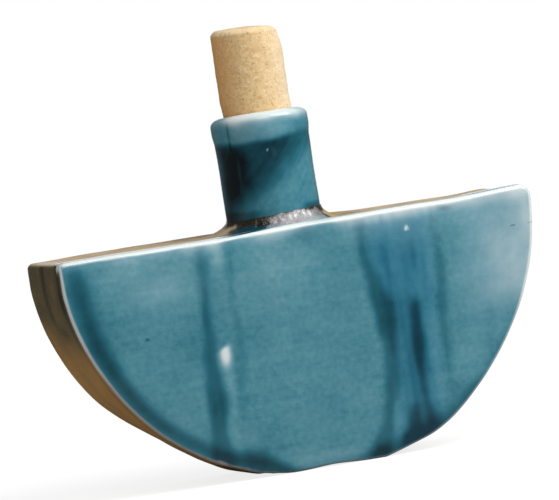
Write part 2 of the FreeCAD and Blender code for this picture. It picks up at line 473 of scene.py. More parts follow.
def finish_paint(points, thick, milk_and_highlight, blue, rim, arris):
    """Glaze breaks pale along the arris, rolls over the top and leaves the round edge of the slab bare. Along
    the top edge the pale line is also a painted highlight.
    """
    x, y, z = points.T
    drop = deck_z - z
    edge = moon_edge(x, z)
    angle = turn_angle(x, z)
    behind = half_depth - np.abs(y) - rim
    wander = noise_at(points, 5, 6)
    on_top = smooth(0.9, 0.2, drop) * smooth(0.3, 0, edge)
    reach = behind + 0.5 * wander
    turn = smooth(arris * 1.15, arris * 0.2, edge) * smooth(arris, arris * 0.65, reach)
    # The top line: glaze breaking pale over the top edge, together with a painted highlight along it
    top_line = 0.55 * smooth(1.7, 0.3, drop + 0.3 * wander) + 0.3 * smooth(5, 0.6, drop)
    top_line = top_line * (1 - 0.15 * smooth(-10, 15, x) - 0.4 * smooth(46, 68, x))
    top_line = top_line * smooth(arris + 0.4, arris * 0.6, behind)
    pooled = bell(x, neck_x - 15.5, 8) * smooth(-14, -17, y) * on_top
    pooled = pooled * smooth(arris * 0.4, arris, behind)
    pale = np.maximum(turn * np.interp(angle, ARRIS_ANGLES, ARRIS_PALE), 0.92 * top_line)
    rolled_over = 0.74 * on_top * (1 - 0.12 * smooth(10, 40, x) - 0.25 * smooth(48, 72, x))
    milk_and_highlight = np.maximum(milk_and_highlight + pale, rolled_over) * (1 - 0.9 * pooled)
    side = smooth(arris * 0.7, arris * 0.9, reach) * (1 - on_top)
    # A painted highlight: pale glaze and ash-coloured clay on the top of the left corner's side
    pale_corner_highlight = side * smooth(4.4, 2.2, drop + 0.6 * wander) * smooth(-14.5, -16.2, y)
    bare = side * smooth(0.5, 2.5, z) * (1 - pale_corner_highlight)
    milk_and_highlight = np.maximum(milk_and_highlight, pale_corner_highlight)
    bare = np.maximum(bare, turn * np.interp(angle, ARRIS_ANGLES, ARRIS_BARE))
    bare_top = on_top * smooth(1, 3, behind + wander) * (y > 0)
    bare_front = on_top * smooth(1.8, 3.2, reach) * between(x + 4 * wander, 10, 60, 8)
    bare_top = np.maximum(bare_top, bare_front)
    paint = paint_clay(points)
    paint["ash"] = np.maximum(paint["ash"], pale_corner_highlight)
    paint["tan"] = paint["tan"] * np.maximum(y > 0, on_top)
    paint["thick"] = np.clip(thick - 0.1 * top_line + 0.4 * pooled, 0, 1)
    paint["milk_and_highlight"] = np.clip(milk_and_highlight, 0, 1)
    paint["blue"] = np.clip(blue, 0, 1)
    paint["bare"] = np.clip(np.maximum(bare, bare_top), 0, 1)
    return paint


def clay_tone_and_shade(points):
    """Tone of the bare clay, 0 nearly black, 0.25 olive, 0.45 brown, 0.62 amber: its fired colour, with the
    strip painted darker than the tan on top as shade, painted shade in the seam groove and the scoop, and
    painted warm light lower down the strip.
    """
    x, y, z = points.T
    angle = turn_angle(x, z)
    arc = np.radians(np.minimum(angle, 180 - angle)) * moon_radius
    left = smooth(30, -30, x)
    # Painted warm light: lighter and more amber further down the strip, most on the left
    clay_tone = 0.26 + (0.16 + 0.14 * left) * smooth(10, 48, arc + 4 * noise_at(points, 12, 34))
    clay_tone += 0.07 * left * smooth(2, 12, y) * smooth(25, 45, arc)
    # Painted shade in the seam groove beside the front, and darker towards the foot
    clay_tone -= 0.11 * bell(y, -16, 2.6) + 0.05 * smooth(66, 90, arc)
    # Painted shade in the scoop
    clay_tone -= 0.13 * left * bell(arc, 25.5, 4) * bell(y, -2, 6.5)
    clay_tone -= 0.09 * left * bell(y, 3, 2.6) * smooth(26, 16, arc)
    return np.clip(clay_tone + 0.05 * noise_at(points, 9, 7), 0, 1)


def grain_of(points):
    """Coordinates for streaks that run along the strip: long one way, fine the other."""
    x, y, z = points.T
    along = np.radians(turn_angle(x, z)) * moon_radius
    on_top = deck_z - z < 1
    along = np.where(on_top, x, along)
    return np.stack([along * 0.08, y * 0.9, moon_edge(x, z) * 0.3], axis=1)


def paint_clay(points):
    """Fired tone of the bare clay, with painted shade and warm light down the strip, tan on the deck and
    ash-coloured along the seam in front.
    """
    _, y, z = points.T
    return {
        "clay_tone": clay_tone_and_shade(points),
        "tan": smooth(0.9, 0.2, deck_z - z),
        "ash": 0.8 * smooth(-18.8, -19.8, y) * smooth(0.2, 0.9, deck_z - z),
        "grain": grain_of(points),
    }


# Meshes
def quads(rows, columns, wrap_rows=False, wrap_columns=True):
    """Faces between neighbouring rows of points."""
    faces = []
    for row in range(rows if wrap_rows else rows - 1):
        here, above = row * columns, (row + 1) % rows * columns
        for column in range(columns if wrap_columns else columns - 1):
            beside = (column + 1) % columns
            faces.append((here + column, here + beside, above + beside, above + column))
    return faces


def pole(points, faces, row, columns, centre):
    """Closes a row of points with a fan to its centre."""
    middle = len(points)
    start = row * columns
    fan = [(start + c, start + (c + 1) % columns, middle) for c in range(columns)]
    return np.vstack([points, [centre]]), faces + fan


def new_object(name, data):
    """A new object in the scene."""
    made = bpy.data.objects.new(name, data)
    bpy.context.scene.collection.objects.link(made)
    return made


def make_piece(name, node, points, faces, surface, paint, move, body="flask", sharp=40):
    """Closed mesh that stands for a node: painted where it rests, then moved by hand."""
    material, slot = surface
    shape = bmesh.new()
    corners = [shape.verts.new(p) for p in points]
    for face in faces:
        shape.faces.new([corners[i] for i in face])
    bmesh.ops.remove_doubles(shape, verts=shape.verts, dist=1e-4)
    bmesh.ops.recalc_face_normals(shape, faces=shape.faces)
    mesh = bpy.data.meshes.new(name)
    shape.to_mesh(mesh)
    shape.free()

    rest = np.zeros(len(mesh.vertices) * 3)
    mesh.vertices.foreach_get("co", rest)
    rest = rest.reshape(-1, 3)
    for key, values in paint(rest).items():
        kind, field = ("FLOAT_VECTOR", "vector") if values.ndim == 2 else ("FLOAT", "value")
        mesh.attributes.new(key, kind, "POINT").data.foreach_set(field, values.ravel())
    mesh.vertices.foreach_set("co", (move(rest) * MM).ravel())
    mesh.shade_smooth()
    mesh.set_sharp_from_angle(angle=math.radians(sharp))
    mesh.update()
    mesh.materials.append(material)

    piece = new_object(name, mesh)
    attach(piece, body)
    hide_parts(node)


def face_profile(arris, room):
    """Inset and depth of each ring of a face slab, from the seam over the arris to the shoulder."""
    band_steps, arris_steps, shoulder_steps = 8, 9, 18
    shoulder_end = 15
    outer = half_depth - room
    start = outer - shoulder(arris) - arris
    profile = [(0, y) for y in np.linspace(cavity_half, start, band_steps, endpoint=False)]
    for turn in np.linspace(0, math.pi / 2, arris_steps):
        profile.append((arris * (1 - math.cos(turn)), start + arris * math.sin(turn)))
    for step in range(1, shoulder_steps + 1):
        inset = arris + (shoulder_end - arris) * (step / shoulder_steps) ** 1.4
        profile.append((inset, outer - shoulder(inset)))
    return profile


def face_slab(name, node, side, arris, room, relief, paint, surface):
    """A face slab: rings from its seam edge, over the arris and shoulder, to the middle of the face."""
    face_steps = 64
    rings = []
    for inset, y in face_profile(arris, room):
        x, z = moon_ring(inset)
        rings.append(np.stack([x, np.full_like(x, side * y), z], axis=1))
    middle = np.array([0, side * (half_depth - room), deck_z - 0.43 * moon_radius])
    edge_ring = rings[-1]
    for share in np.linspace(1, 0, face_steps, endpoint=False)[1:]:
        ring = middle + (edge_ring - middle) * share
        ring[:, 1] = middle[1]
        rings.append(ring)
    columns = len(edge_ring)
    faces = quads(len(rings), columns)
    points, faces = pole(np.concatenate(rings), faces, len(rings) - 1, columns, middle)
    points, faces = pole(points, faces, 0, columns, (0, side * cavity_half, middle[2]))

    def move(rest):
        x, y, z = rest.T
        on_face = smooth(2, 5, moon_edge(x, z)) * (np.abs(y) > cavity_half + 0.5)
        lifted = rest.copy()
        lifted[:, 1] += side * on_face * relief(x, deck_z - z)
        return handmade(lifted)

    make_piece(name, node, points, faces, surface, paint, move)


def edge_strip(surface):
    """The bent strip: a four-sided section carried along the half moon."""
    across = np.linspace(-cavity_half, cavity_half, 34)
    rows = []
    for outer_x, outer_z, inner_x, inner_z in zip(*side_line(0), *side_line(strip_wall)):
        outer = [(outer_x, y, outer_z) for y in across]
        rows.append(outer + [(inner_x, y, inner_z) for y in across[::-3]])
    columns = len(rows[0])
    last = (len(rows) - 1) * columns
    faces = quads(len(rows), columns)
    faces += [tuple(range(columns)), tuple(range(last, last + columns))]
    points = np.concatenate(rows)
    make_piece("bent_edge_strip", "edge_strip", points, faces, surface, paint_clay, strip_shape)


def strip_shape(rest):
    """Finger strokes along the strip and one scoop, on top of the common handmade field."""
    x, y, z = rest.T
    stroke = noise_at(grain_of(rest) * np.array([1, 0.35, 1]), 1, 8)
    scoop = 0.5 * bell(np.radians(turn_angle(x, z)) * moon_radius, 26, 4) * bell(y, -1, 6)
    depth = (0.09 * (stroke + 1) + scoop) * smooth(cavity_half, cavity_half - 3, np.abs(y))
    depth = depth * smooth(2, 0.5, moon_edge(x, z)) * smooth(0, 6, z)
    pressed = rest.copy()
    push_in(pressed, x, z, depth * smooth(deck_wall, deck_wall + 6, deck_z - z))
    return handmade(pressed)


def deck_stations():
    """x on the deck's upper and lower side and z on the upper, from the left seam to the right seam."""
    seam_x = math.sqrt(moon_radius**2 - deck_wall**2)
    seam_angle = math.asin(deck_wall / moon_radius)
    ends = []
    for corner in (left_corner, right_corner):
        corner_x, start = corner_of(moon_radius, 0, corner)
        side = np.linspace(start, seam_angle, 7)
        arc_x, arc_z = corner_arc(corner_x, deck_z, corner, start, 9)
        x = np.concatenate([arc_x, moon_radius * np.cos(side)])
        z = np.concatenate([arc_z, deck_z - moon_radius * np.sin(side)])
        ends.append((x, np.linspace(corner_x, seam_x, len(x)), z))
    left, right = ends
    turn = np.linspace(math.pi, 0, 33)
    hole = neck_x + deck_hole_radius * np.cos(turn)
    to_left = np.linspace(-left[0][0], hole[0], 60)[1:-1]
    to_right = np.linspace(hole[-1], right[0][0], 60)[1:-1]
    flat = np.concatenate([to_left, hole, to_right])
    upper = np.concatenate([-left[0][::-1], flat, right[0]])
    lower = np.concatenate([-left[1][::-1], flat, right[1]])
    z = np.concatenate([left[2][::-1], np.full(len(flat), deck_z), right[2]])
    return upper, lower, z


def top_slab(surface):
    """The deck: two halves of a grid that part round the hole, over the same grid on the underside."""
    upper, lower, top = deck_stations()
    half_steps = 12
    row = half_steps + 1
    stations = len(upper)
    sheet = stations * row
    span = np.linspace(0, 1, row)
    opening = np.sqrt(np.maximum(deck_hole_radius**2 - (upper - neck_x) ** 2, 0))
    grid = quads(stations, row, wrap_columns=False)
    points = []
    faces = []
    for x, z in ((upper, top), (lower, np.full(stations, deck_z - deck_wall))):
        for side in (-1, 1):
            faces += [tuple(i + len(points) for i in face) for face in grid]
            for station in range(stations):
                y = cavity_half + (opening[station] - cavity_half) * span
                points += [(x[station], side * v, z[station]) for v in y]
    for above in (0, sheet):
        below = above + 2 * sheet
        for station in range(stations - 1):
            here, there = station * row, (station + 1) * row
            faces.append((above + here, above + there, below + there, below + here))
            if opening[station] + opening[station + 1] > 0:
                here, there = here + half_steps, there + half_steps
                faces.append((above + here, above + there, below + there, below + here))
    faces = [f for f in faces if not degenerate(points, f)]
    make_piece("top_deck", "top_slab", np.array(points), faces, surface, paint_deck, handmade)


def degenerate(points, face):
    """True for a face with fewer than three separate corners."""
    return len({tuple(np.round(points[i], 4)) for i in face}) < 3


def paint_deck(points):
    """Tan clay with glaze that has crept over the front edge, but for a bare stretch right of the neck."""
    paint = paint_clay(points)
    x, y, z = points.T
    drop = deck_z - z
    creep = -13 + 3 * noise_at(points, 16, 9) + 1.6 * noise_at(points, 4, 10)
    creep = creep - 10 * between(x, 8, 60, 8) + 8 * smooth(60, 74, x)
    bare = np.maximum(smooth(-4.5, 4, y - creep), smooth(0.3, 0.8, drop))
    # Less bare at the deck's left end, so that pale glaze shows there: with the front's pale corner, a
    # painted highlight
    paint["bare"] = bare * (1 - 0.45 * smooth(-74, -83, x) * smooth(0.6, 0.1, drop))
    # Painted shade on the deck right of the neck's foot, beside the coil
    paint["tan"] = paint["tan"] * (1 - 0.5 * bell(x, neck_x + 24, 9))
    paint["thick"] = np.full(len(x), 0.42)
    paint["milk_and_highlight"] = np.full(len(x), 0.74)
    paint["blue"] = np.zeros(len(x))
    return paint


def neck_azimuth(points):
    """Degrees round the neck: 0 at the front, positive to the right, and the distance from its axis."""
    x, y, _ = points.T
    return np.degrees(np.arctan2(x - neck_x, -y)), np.hypot(x - neck_x, y)


def lean(z):
    """The neck leans a little to the left: how far right of its frame axis it is at a height."""
    return lean_reach * (1 - (z - deck_z) / (lip_z - deck_z))


def neck_shape(rest):
    """Waves left by the hand, a slight waist, a slight lean and a lip that is a little higher in front."""
    x, y, z = rest.T
    radius = neck_azimuth(rest)[1]
    outside = smooth(neck_radius - 2.5, neck_radius - 0.5, radius)
    swell = 0.16 * noise_at(rest, 14, 11) + 0.04 * noise_at(rest, 4, 12)
    swell -= 0.12 * bell(z - deck_z, 17, 9)
    factor = 1 + outside * swell / np.maximum(radius, 1)
    shaped = rest.copy()
    shaped[:, 0] = neck_x + (x - neck_x) * factor + lean(z)
    shaped[:, 1] = y * factor
    shaped[:, 2] = z - (lip_tilt * y + lip_sag * noise_at(rest, 15, 16)) * smooth(collar_z, lip_z, z)
    return shaped


def crack(azimuth, rise):
    """A fine dark line that runs from the lip down the left of the neck."""
    return bell(azimuth, -60 + 0.25 * (rise - 30), 1.5) * smooth(14, 24, rise)


def neck_glaze(points):
    """One coat over neck and collar: dark on the left, where thick glaze carries painted shade and a painted
    dark reflection, thin at the right and the foot, pale at the lip.
    """
    x, y, z = points.T
    azimuth, radius = neck_azimuth(points)
    rise = z - deck_z
    collar_rise, lip_rise = collar_z - deck_z, lip_z - deck_z
    turned = azimuth + 12 * noise_at(points, 12, 41) + 5 * noise_at(points, 4, 42)
    slanting = np.stack([azimuth * 0.1 - rise * 0.32, azimuth * 0.02 + rise * 0.05, y * 0.02], axis=1)
    wisp = noise_at(slanting, 1, 43) + 0.6 * noise_at(slanting * 2.3, 1, 44)

    # Dark on the left: thick glaze, with painted shade and a painted dark reflection in it
    core = between(turned, -84, -44, 14) * between(rise, 10, 29, 5)
    lower_edge = 10 + 0.18 * (turned + 50)
    veil = between(turned, -100, 20, 30) * smooth(lower_edge - 6, lower_edge + 6, rise)
    thick = 0.5 + 0.2 * core + 0.34 * veil + 0.03 * wisp
    # Thicker, darker glaze under the collar, partly painted shade under its overhang
    under_collar = smooth(20, 29.5, rise + 0.7 * wisp + 3 * noise_at(points, 9, 45))
    thick += 0.2 * under_collar * between(azimuth, -20, 80, 20) * (1 - 0.6 * veil)
    in_front = between(azimuth, -34, 26, 10)
    thick += 0.14 * smooth(11, 3, rise + 1.6 * wisp) * (1 - in_front)
    # A dark line just above the coil: glaze pooled in the joint, with painted shade
    thick += 0.16 * smooth(8, 6.4, rise + 0.4 * wisp) * (1 - 0.85 * in_front)
    collar_edge = rise + 0.5 * noise_at(points, 6, 14) - 1.2 * smooth(0, 40, azimuth)
    on_collar = smooth(collar_rise - 0.9, collar_rise + 2.2, collar_edge)
    collar_thick = 0.31 + 0.12 * smooth(-40, -66, azimuth) + 0.22 * smooth(0, 40, azimuth)
    thick = thick + (collar_thick - thick) * on_collar + 0.28 * crack(azimuth, rise)

    # A painted highlight streak down the left of the neck
    milk_and_highlight = 0.13 * bell(azimuth, -52, 3.8) * between(rise, 12, 27, 5)
    milk_and_highlight += 0.7 * bell(azimuth, -13, 1.2) * bell(rise, 27.6, 0.5)
    # A small painted reflection, pale and square, in front
    milk_and_highlight += 0.12 * between(azimuth, -8, -2, 1) * between(rise, 24.5, 28.5, 0.8)
    # Pale glaze at the lip, partly a painted highlight along it, fainter on the left and the right
    lip = 0.85 * smooth(lip_rise - 6.2, lip_rise - 0.5, rise + 0.7 * noise_at(points, 6, 14))
    milk_and_highlight += lip * (1 - 0.45 * smooth(-50, -75, azimuth)) * (1 - 0.2 * smooth(10, 50, azimuth))
    inside_mouth = smooth(cork_radius + 1.6, cork_radius + 0.6, radius)
    return {
        "thick": np.clip(thick, 0, 1),
        "milk_and_highlight": np.clip(milk_and_highlight, 0, 1),
        "blue": 0.25 * on_collar,
        "bare": inside_mouth,
        "tan": np.ones(len(x)),
        "grain": points * 0.2,
    }


def neck_ring(name, node, profile, steps, surface):
    """A ring about the neck's axis with a closed profile of radius and z, under the coat of glaze."""
    angles = np.linspace(0, 2 * math.pi, steps, endpoint=False)
    points = np.array([(neck_x + r * math.sin(a), -r * math.cos(a), z) for a in angles for r, z in profile])
    faces = quads(steps, len(profile), wrap_rows=True)
    make_piece(name, node, points, faces, surface, neck_glaze, neck_shape)


def neck_tube(surface):
    """A plain tube."""
    rise = np.linspace(deck_z, collar_z, 56)
    profile = [(neck_radius, z) for z in rise] + [(bore, z) for z in rise[::-6]]
    neck_ring("glazed_neck", "neck_tube", profile, 144, surface)


def lip_collar(surface):
    """A barrel-shaped ring, rounded over at the lip."""
    lip_round, inner_round = 2.8, 0.9
    profile = []
    for share in np.linspace(0, 1, 20):
        z = collar_z + share * (lip_z - lip_round - collar_z)
        profile.append((neck_radius + (collar_radius - neck_radius) * float(smooth(-0.05, 0.65, share)), z))
    start = profile[-1][0]
    reach = start - (bore + inner_round)
    for turn in np.linspace(0, math.pi / 2, 12)[1:]:
        profile.append((start - reach * (1 - math.cos(turn)), lip_z - lip_round + lip_round * math.sin(turn)))
    for turn in np.linspace(0, math.pi / 2, 6)[1:]:
        radius = bore + inner_round * (1 - math.sin(turn))
        profile.append((radius, lip_z - inner_round * (1 - math.cos(turn))))
    profile += [(bore, z) for z in np.linspace(lip_z - inner_round, collar_z, 6)[1:]]
    neck_ring("rounded_lip_collar", "lip_collar", profile, 160, surface)


def luting_coil(surface):
    """The smeared coil at the neck's foot: a hollow slope, knobbly from the tool that pressed it."""
    steps, slope_steps = 220, 16
    sunk, inside = 0.3, 0.8  # how far the coil reaches into the deck and into the neck's wall
    height = luting_high[2] - deck_z
    reach_along = (luting_high[0] - luting_low[0]) / 2 - neck_radius
    reach_across = (luting_high[1] - luting_low[1]) / 2 - neck_radius
    rows = []
    for angle in np.linspace(0, 2 * math.pi, steps, endpoint=False):
        sine, cosine = math.sin(angle), math.cos(angle)
        reach = math.hypot(reach_along * sine, reach_across * cosine)
        place = Vector((sine, cosine, 0))
        lump = noise.noise(place * 7 + Vector((3.1, 0, 0)))
        knob = noise.noise(place * 14 + Vector((0, 4.7, 0)))
        top = height * (0.92 + 0.12 * sine - 0.13 * sine * sine + 0.05 * lump)
        section = []
        for share in np.linspace(0, 1, slope_steps):
            out = 0.2 + reach * share**1.8
            z = top * (1 - share) ** 1.35
            swell = (0.45 * knob + 0.2 * lump) * math.sin(math.pi * min(share * 1.3, 1))
            section.append((out + 0.5 * swell, max(z + 0.5 * swell, 0.02)))
        section += [(reach + 0.1, -sunk), (-inside, -sunk), (-inside, top)]
        for out, z in section:
            radius = neck_radius + out
            rows.append((neck_x + radius * sine, -radius * cosine, deck_z + z))
    faces = quads(steps, len(rows) // steps, wrap_rows=True)
    points = np.array(rows)
    make_piece("pressed_luting_coil", "neck_luting_coil", points, faces, surface, paint_coil, shift_coil)


def shift_coil(rest):
    """The coil follows the foot of the leaning neck, and stays inside the two faces."""
    x, y, z = rest.T
    limit = half_depth - coil_room
    raised = smeared_clay(x, y) * smooth(2, 7, np.abs(x - neck_x) - neck_radius)
    return np.stack([x + lean_reach, np.clip(y, -limit, limit), z + raised], axis=1)


# Degrees round the neck of the painted glints on the coil
GLINTS = (-7, 2, 8.5, 13.5, 20, 28)


def paint_coil(points):
    """Dark glaze on the front left, greyish on the front right, tan where it is smeared along the deck."""
    azimuth, radius = neck_azimuth(points)
    patch = noise_at(points, 3.2, 17) + 0.6 * noise_at(points, 1.4, 27)
    rise = points[:, 2] - deck_z
    reach = radius - neck_radius
    to_right = smooth(20, 80, azimuth)
    sideways = smooth(58, 76, np.where(azimuth > 0, 2 * azimuth - 36, -azimuth) + 6 * patch)
    smeared = sideways * smooth(0.4, 2.2 - 1.2 * to_right, reach + 0.5 * patch)
    greyish = smooth(-42, -4, azimuth + 12 * patch) * (1 - sideways) * smooth(6.2, 4.4, rise + patch)
    greyish = greyish * (1 - 0.95 * to_right)
    glazed = (1 - sideways) * smooth(1, 2.4, reach + 0.5 * patch)
    # Painted glints: a row of bright spots round the front of the coil
    glint = sum(bell(azimuth, place, 1.9) for place in GLINTS) * bell(rise + 0.4 * patch, 3.9, 1)
    return {
        "clay_tone": np.clip(0.03 + 0.07 * patch + 0.33 * smeared, 0, 1),
        # The smear's tan is darker on the right close to the neck: painted shade on the coil's shaded side
        "tan": np.clip(smeared * (1 - 0.75 * to_right * smooth(9, 3, reach)), 0, 1),
        "ash": np.zeros(len(points)),
        "grey": np.clip(greyish, 0, 1),
        "glint": np.clip(glint, 0, 1),
        "glazed": np.clip(glazed, 0, 1),
        "grain": points * 0.3,
        "wet": 1 - smeared,
    }


def cork_stopper(surface):
    """A straight pressed cork, bevelled at both ends and rounded at the upper one."""
    radius = cork_radius
    foot, crown = cork_low[2], cork_high[2]
    bevel, columns = 1.7, 192
    profile = [(r, foot) for r in np.linspace(1.05, radius - bevel, 14)]
    profile += [(radius - bevel * (1 - s), foot + bevel * s) for s in np.linspace(0, 1, 6)[1:]]
    profile += [(radius, z) for z in np.linspace(foot + bevel, crown - bevel, 96)[1:-1]]
    for share in np.linspace(0, 1, 9):
        turn = share * math.pi / 2
        inward = (share + 1 - math.cos(turn)) / 2
        upward = (share + math.sin(turn)) / 2
        profile.append((radius - bevel * inward, crown - bevel * (1 - upward)))
    profile += [(r, crown) for r in np.linspace(radius - bevel, 0.8, 22)[1:]]
    angles = np.linspace(0, 2 * math.pi, columns, endpoint=False)
    points = np.array([(neck_x + r * math.sin(a), -r * math.cos(a), z) for r, z in profile for a in angles])
    faces = quads(len(profile), columns)
    points, faces = pole(points, faces, 0, columns, (neck_x, 0, foot))
    points, faces = pole(points, faces, len(profile) - 1, columns, (neck_x, 0, crown))
    make_piece(
        "pressed_cork", "cork_stopper", points, faces, surface, cork_painted_light, cork_shape, body="cork", sharp=60
    )


def cork_painted_light(points):
    """Painted shade, warm and orange, on the left of the cork, and a painted highlight on the right and over
    the crown.
    """
    azimuth, radius = neck_azimuth(points)
    outer = smooth(0.3 * cork_radius, 0.9 * cork_radius, radius)
    crown = smooth(cork_high[2] - 2.4, cork_high[2] - 0.8, points[:, 2])
    painted_highlight = np.maximum(outer * between(azimuth, 25, 130, 40), 0.6 * crown)
    return {"warm_painted_shade": outer * between(azimuth, -130, -60, 45) * (1 - crown), "painted_highlight": painted_highlight}


def cork_shape(rest):
    """Grains and pits in the surface, a slight swelling above the lip, and a crown worn down on the right."""
    x, y, z = rest.T
    crown = cork_high[2]
    free = smooth(lip_z - 1, lip_z + 6, z)
    grain = 0.1 * (1 + noise_at(rest, 1.1, 18)) + 0.1 * (1 + noise_at(rest, 3, 19))
    rough = grain + 0.12 * smooth(0.42, 0.62, noise_at(rest, 1.2, 20))
    rightward = smooth(0, cork_radius, x - neck_x)
    depth = np.minimum(rough, 0.6) * (0.35 + 0.65 * free) - 0.25 * free
    depth += 1.3 * free * smooth(crown - 10, crown, z) * rightward
    factor = 1 - depth / np.maximum(np.hypot(x - neck_x, y), 4)
    worn = smooth(crown - 6, crown, z) * (0.9 * rightward * rightward + 0.3 * rough)
    return np.stack([neck_x + (x - neck_x) * factor - cork_shift * free, y * factor, z - worn], axis=1)


# Materials
def linear(colour):
    """Screen colour, 0 to 255, as a linear colour."""
    parts = [c / 255 for c in colour]
    return [c / 12.92 if c <= 0.04045 else ((c + 0.055) / 1.055) ** 2.4 for c in parts] + [1]


class Nodes:
    """A node tree, with short helpers for what the looks below share."""

    def __init__(self, tree):
        self.tree = tree

    def feed(self, socket, value):
        if isinstance(value, bpy.types.NodeSocket):
            self.tree.links.new(value, socket)
        else:
            socket.default_value = value

    def node(self, kind, inputs=(), **settings):
        """A new node with its settings, and its inputs fed by name or number."""
        made = self.tree.nodes.new(kind)
        for key, value in settings.items():
            setattr(made, key, value)
        for key, value in dict(inputs).items():
            self.feed(made.inputs[key], value)
        return made

    def attribute(self, name, output="Fac"):
        return self.node("ShaderNodeAttribute", attribute_name=name).outputs[output]

    def noise(self, scale, detail=2, vector=None, roughness=0.5, output="Fac"):
        inputs = {"Vector": vector or self.place, "Scale": scale, "Detail": detail, "Roughness": roughness}
        return self.node("ShaderNodeTexNoise", inputs).outputs[output]

    def stretched(self, scale):
        return self.node("ShaderNodeMapping", {"Vector": self.place, "Scale": scale}).outputs["Vector"]

    def warped(self, scale, reach):
        """Coordinates shaken by noise, so that cells lose their straight edges."""
        shake = {0: self.noise(scale, output="Color"), "Scale": reach}
        small = self.node("ShaderNodeVectorMath", shake, operation="SCALE").outputs["Vector"]
        return self.node("ShaderNodeVectorMath", {0: self.place, 1: small}, operation="ADD").outputs["Vector"]

    def axes(self, vector):
        return self.node("ShaderNodeSeparateXYZ", {0: vector}).outputs

    def math(self, operation, a, b=0):
        return self.node("ShaderNodeMath", {0: a, 1: b}, operation=operation).outputs[0]

    def times(self, a, b):
        return self.math("MULTIPLY", a, b)

    def sum(self, value, part, weight):
        """value plus weight times a part's distance from a half."""
        return self.math("ADD", value, self.times(self.math("SUBTRACT", part, 0.5), weight))

    def remap(self, value, low, high, to_low=0, to_high=1):
        inputs = {"Value": value, "From Min": low, "From Max": high, "To Min": to_low, "To Max": to_high}
        return self.node("ShaderNodeMapRange", inputs, interpolation_type="SMOOTHSTEP").outputs["Result"]

    def ramp(self, value, stops):
        made = self.node("ShaderNodeValToRGB", {"Fac": value})
        elements = made.color_ramp.elements
        while len(elements) < len(stops):
            elements.new(0.5)
        for element, (place, colour) in zip(elements, stops):
            element.position = place
            element.color = linear(colour)
        return made.outputs["Color"]

    def mix(self, share, first, second):
        """A share of the second colour in the first; each is a socket or a screen colour."""
        inputs = {0: share}
        for key, colour in ((6, first), (7, second)):
            inputs[key] = colour if isinstance(colour, bpy.types.NodeSocket) else linear(colour)
        return self.node("ShaderNodeMix", inputs, data_type="RGBA").outputs[2]

    def tint(self, colour, share, strength, shade):
        return self.mix(self.times(share, strength), colour, shade)

    def bump(self, height, distance, strength, under=None):
        inputs = {"Height": height, "Distance": distance * MM, "Strength": strength}
        if under:
            inputs["Normal"] = under
        return self.node("ShaderNodeBump", inputs).outputs["Normal"]


class Look(Nodes):
    """A material of its own, built on the usual shader."""

    def __init__(self, name):
        self.material = bpy.data.materials.new(name)
        self.material.use_nodes = True
        super().__init__(self.material.node_tree)
        self.shader = self.tree.nodes["Principled BSDF"]
        self.place = self.node("ShaderNodeTexCoord").outputs["Object"]

    def finish(self, inputs):
        """Feeds the shader and gives the material."""
        for key, value in inputs.items():
            self.feed(self.shader.inputs[key], value)
        return self.material


# Bare clay by tone: on the strip the dark end is painted shade and the amber end painted warm light
CLAY_STOPS = [
    (0, (32, 27, 21)),
    (0.12, (58, 51, 37)),
    (0.25, (106, 97, 69)),
    (0.42, (168, 131, 78)),
    (0.62, (218, 164, 90)),
    (1, (230, 184, 114)),
]
TAN_STOPS = [(0.2, (169, 145, 114)), (0.5, (189, 166, 133)), (0.8, (206, 185, 152))]
ASH = (198, 178, 162)
GLAZE_STOPS = [
    (0, (190, 208, 212)),
    (0.2, (126, 170, 180)),
    (0.4, (88, 145, 158)),
    (0.5, (70, 131, 146)),
    (0.62, (42, 106, 123)),
    (0.75, (25, 83, 97)),
    (0.88, (12, 56, 68)),
    (1, (5, 22, 28)),
]
CORK_STOPS = [(0, (184, 136, 78)), (0.35, (220, 184, 128)), (0.65, (234, 204, 154)), (1, (246, 226, 188))]
# Pale glaze colours, which also give the painted highlights and reflections
MILK = (226, 233, 231)
HAZE = (170, 200, 216)
BLUE = (38, 114, 145)
DEEP_BLUE = (14, 64, 88)
dry_sheen = 0.15  # specular level of bare clay
wet_sheen = 0.5  # and of glaze


def clay_colour(look, clay_tone=None):
    """Bare clay: the fired tone, which carries painted shade and warm light on the strip, streaked along the
    strip and speckled. The streaks are given too.
    """
    clay_tone = clay_tone or look.attribute("clay_tone")
    streak = look.noise(1.1, 4, look.attribute("grain", "Vector"), 0.6)
    cloud = look.noise(110, 3)
    for part, weight in ((streak, 0.13), (cloud, 0.13), (look.noise(900, 3), 0.1)):
        clay_tone = look.sum(clay_tone, part, weight)
    colour = look.mix(look.attribute("ash"), look.ramp(clay_tone, CLAY_STOPS), ASH)
    colour = look.mix(look.attribute("tan"), colour, look.ramp(look.sum(cloud, streak, 0.5), TAN_STOPS))
    speck = look.remap(look.noise(1500, 1), 0.66, 0.74)
    return look.tint(colour, speck, 0.55, (50, 40, 30)), streak


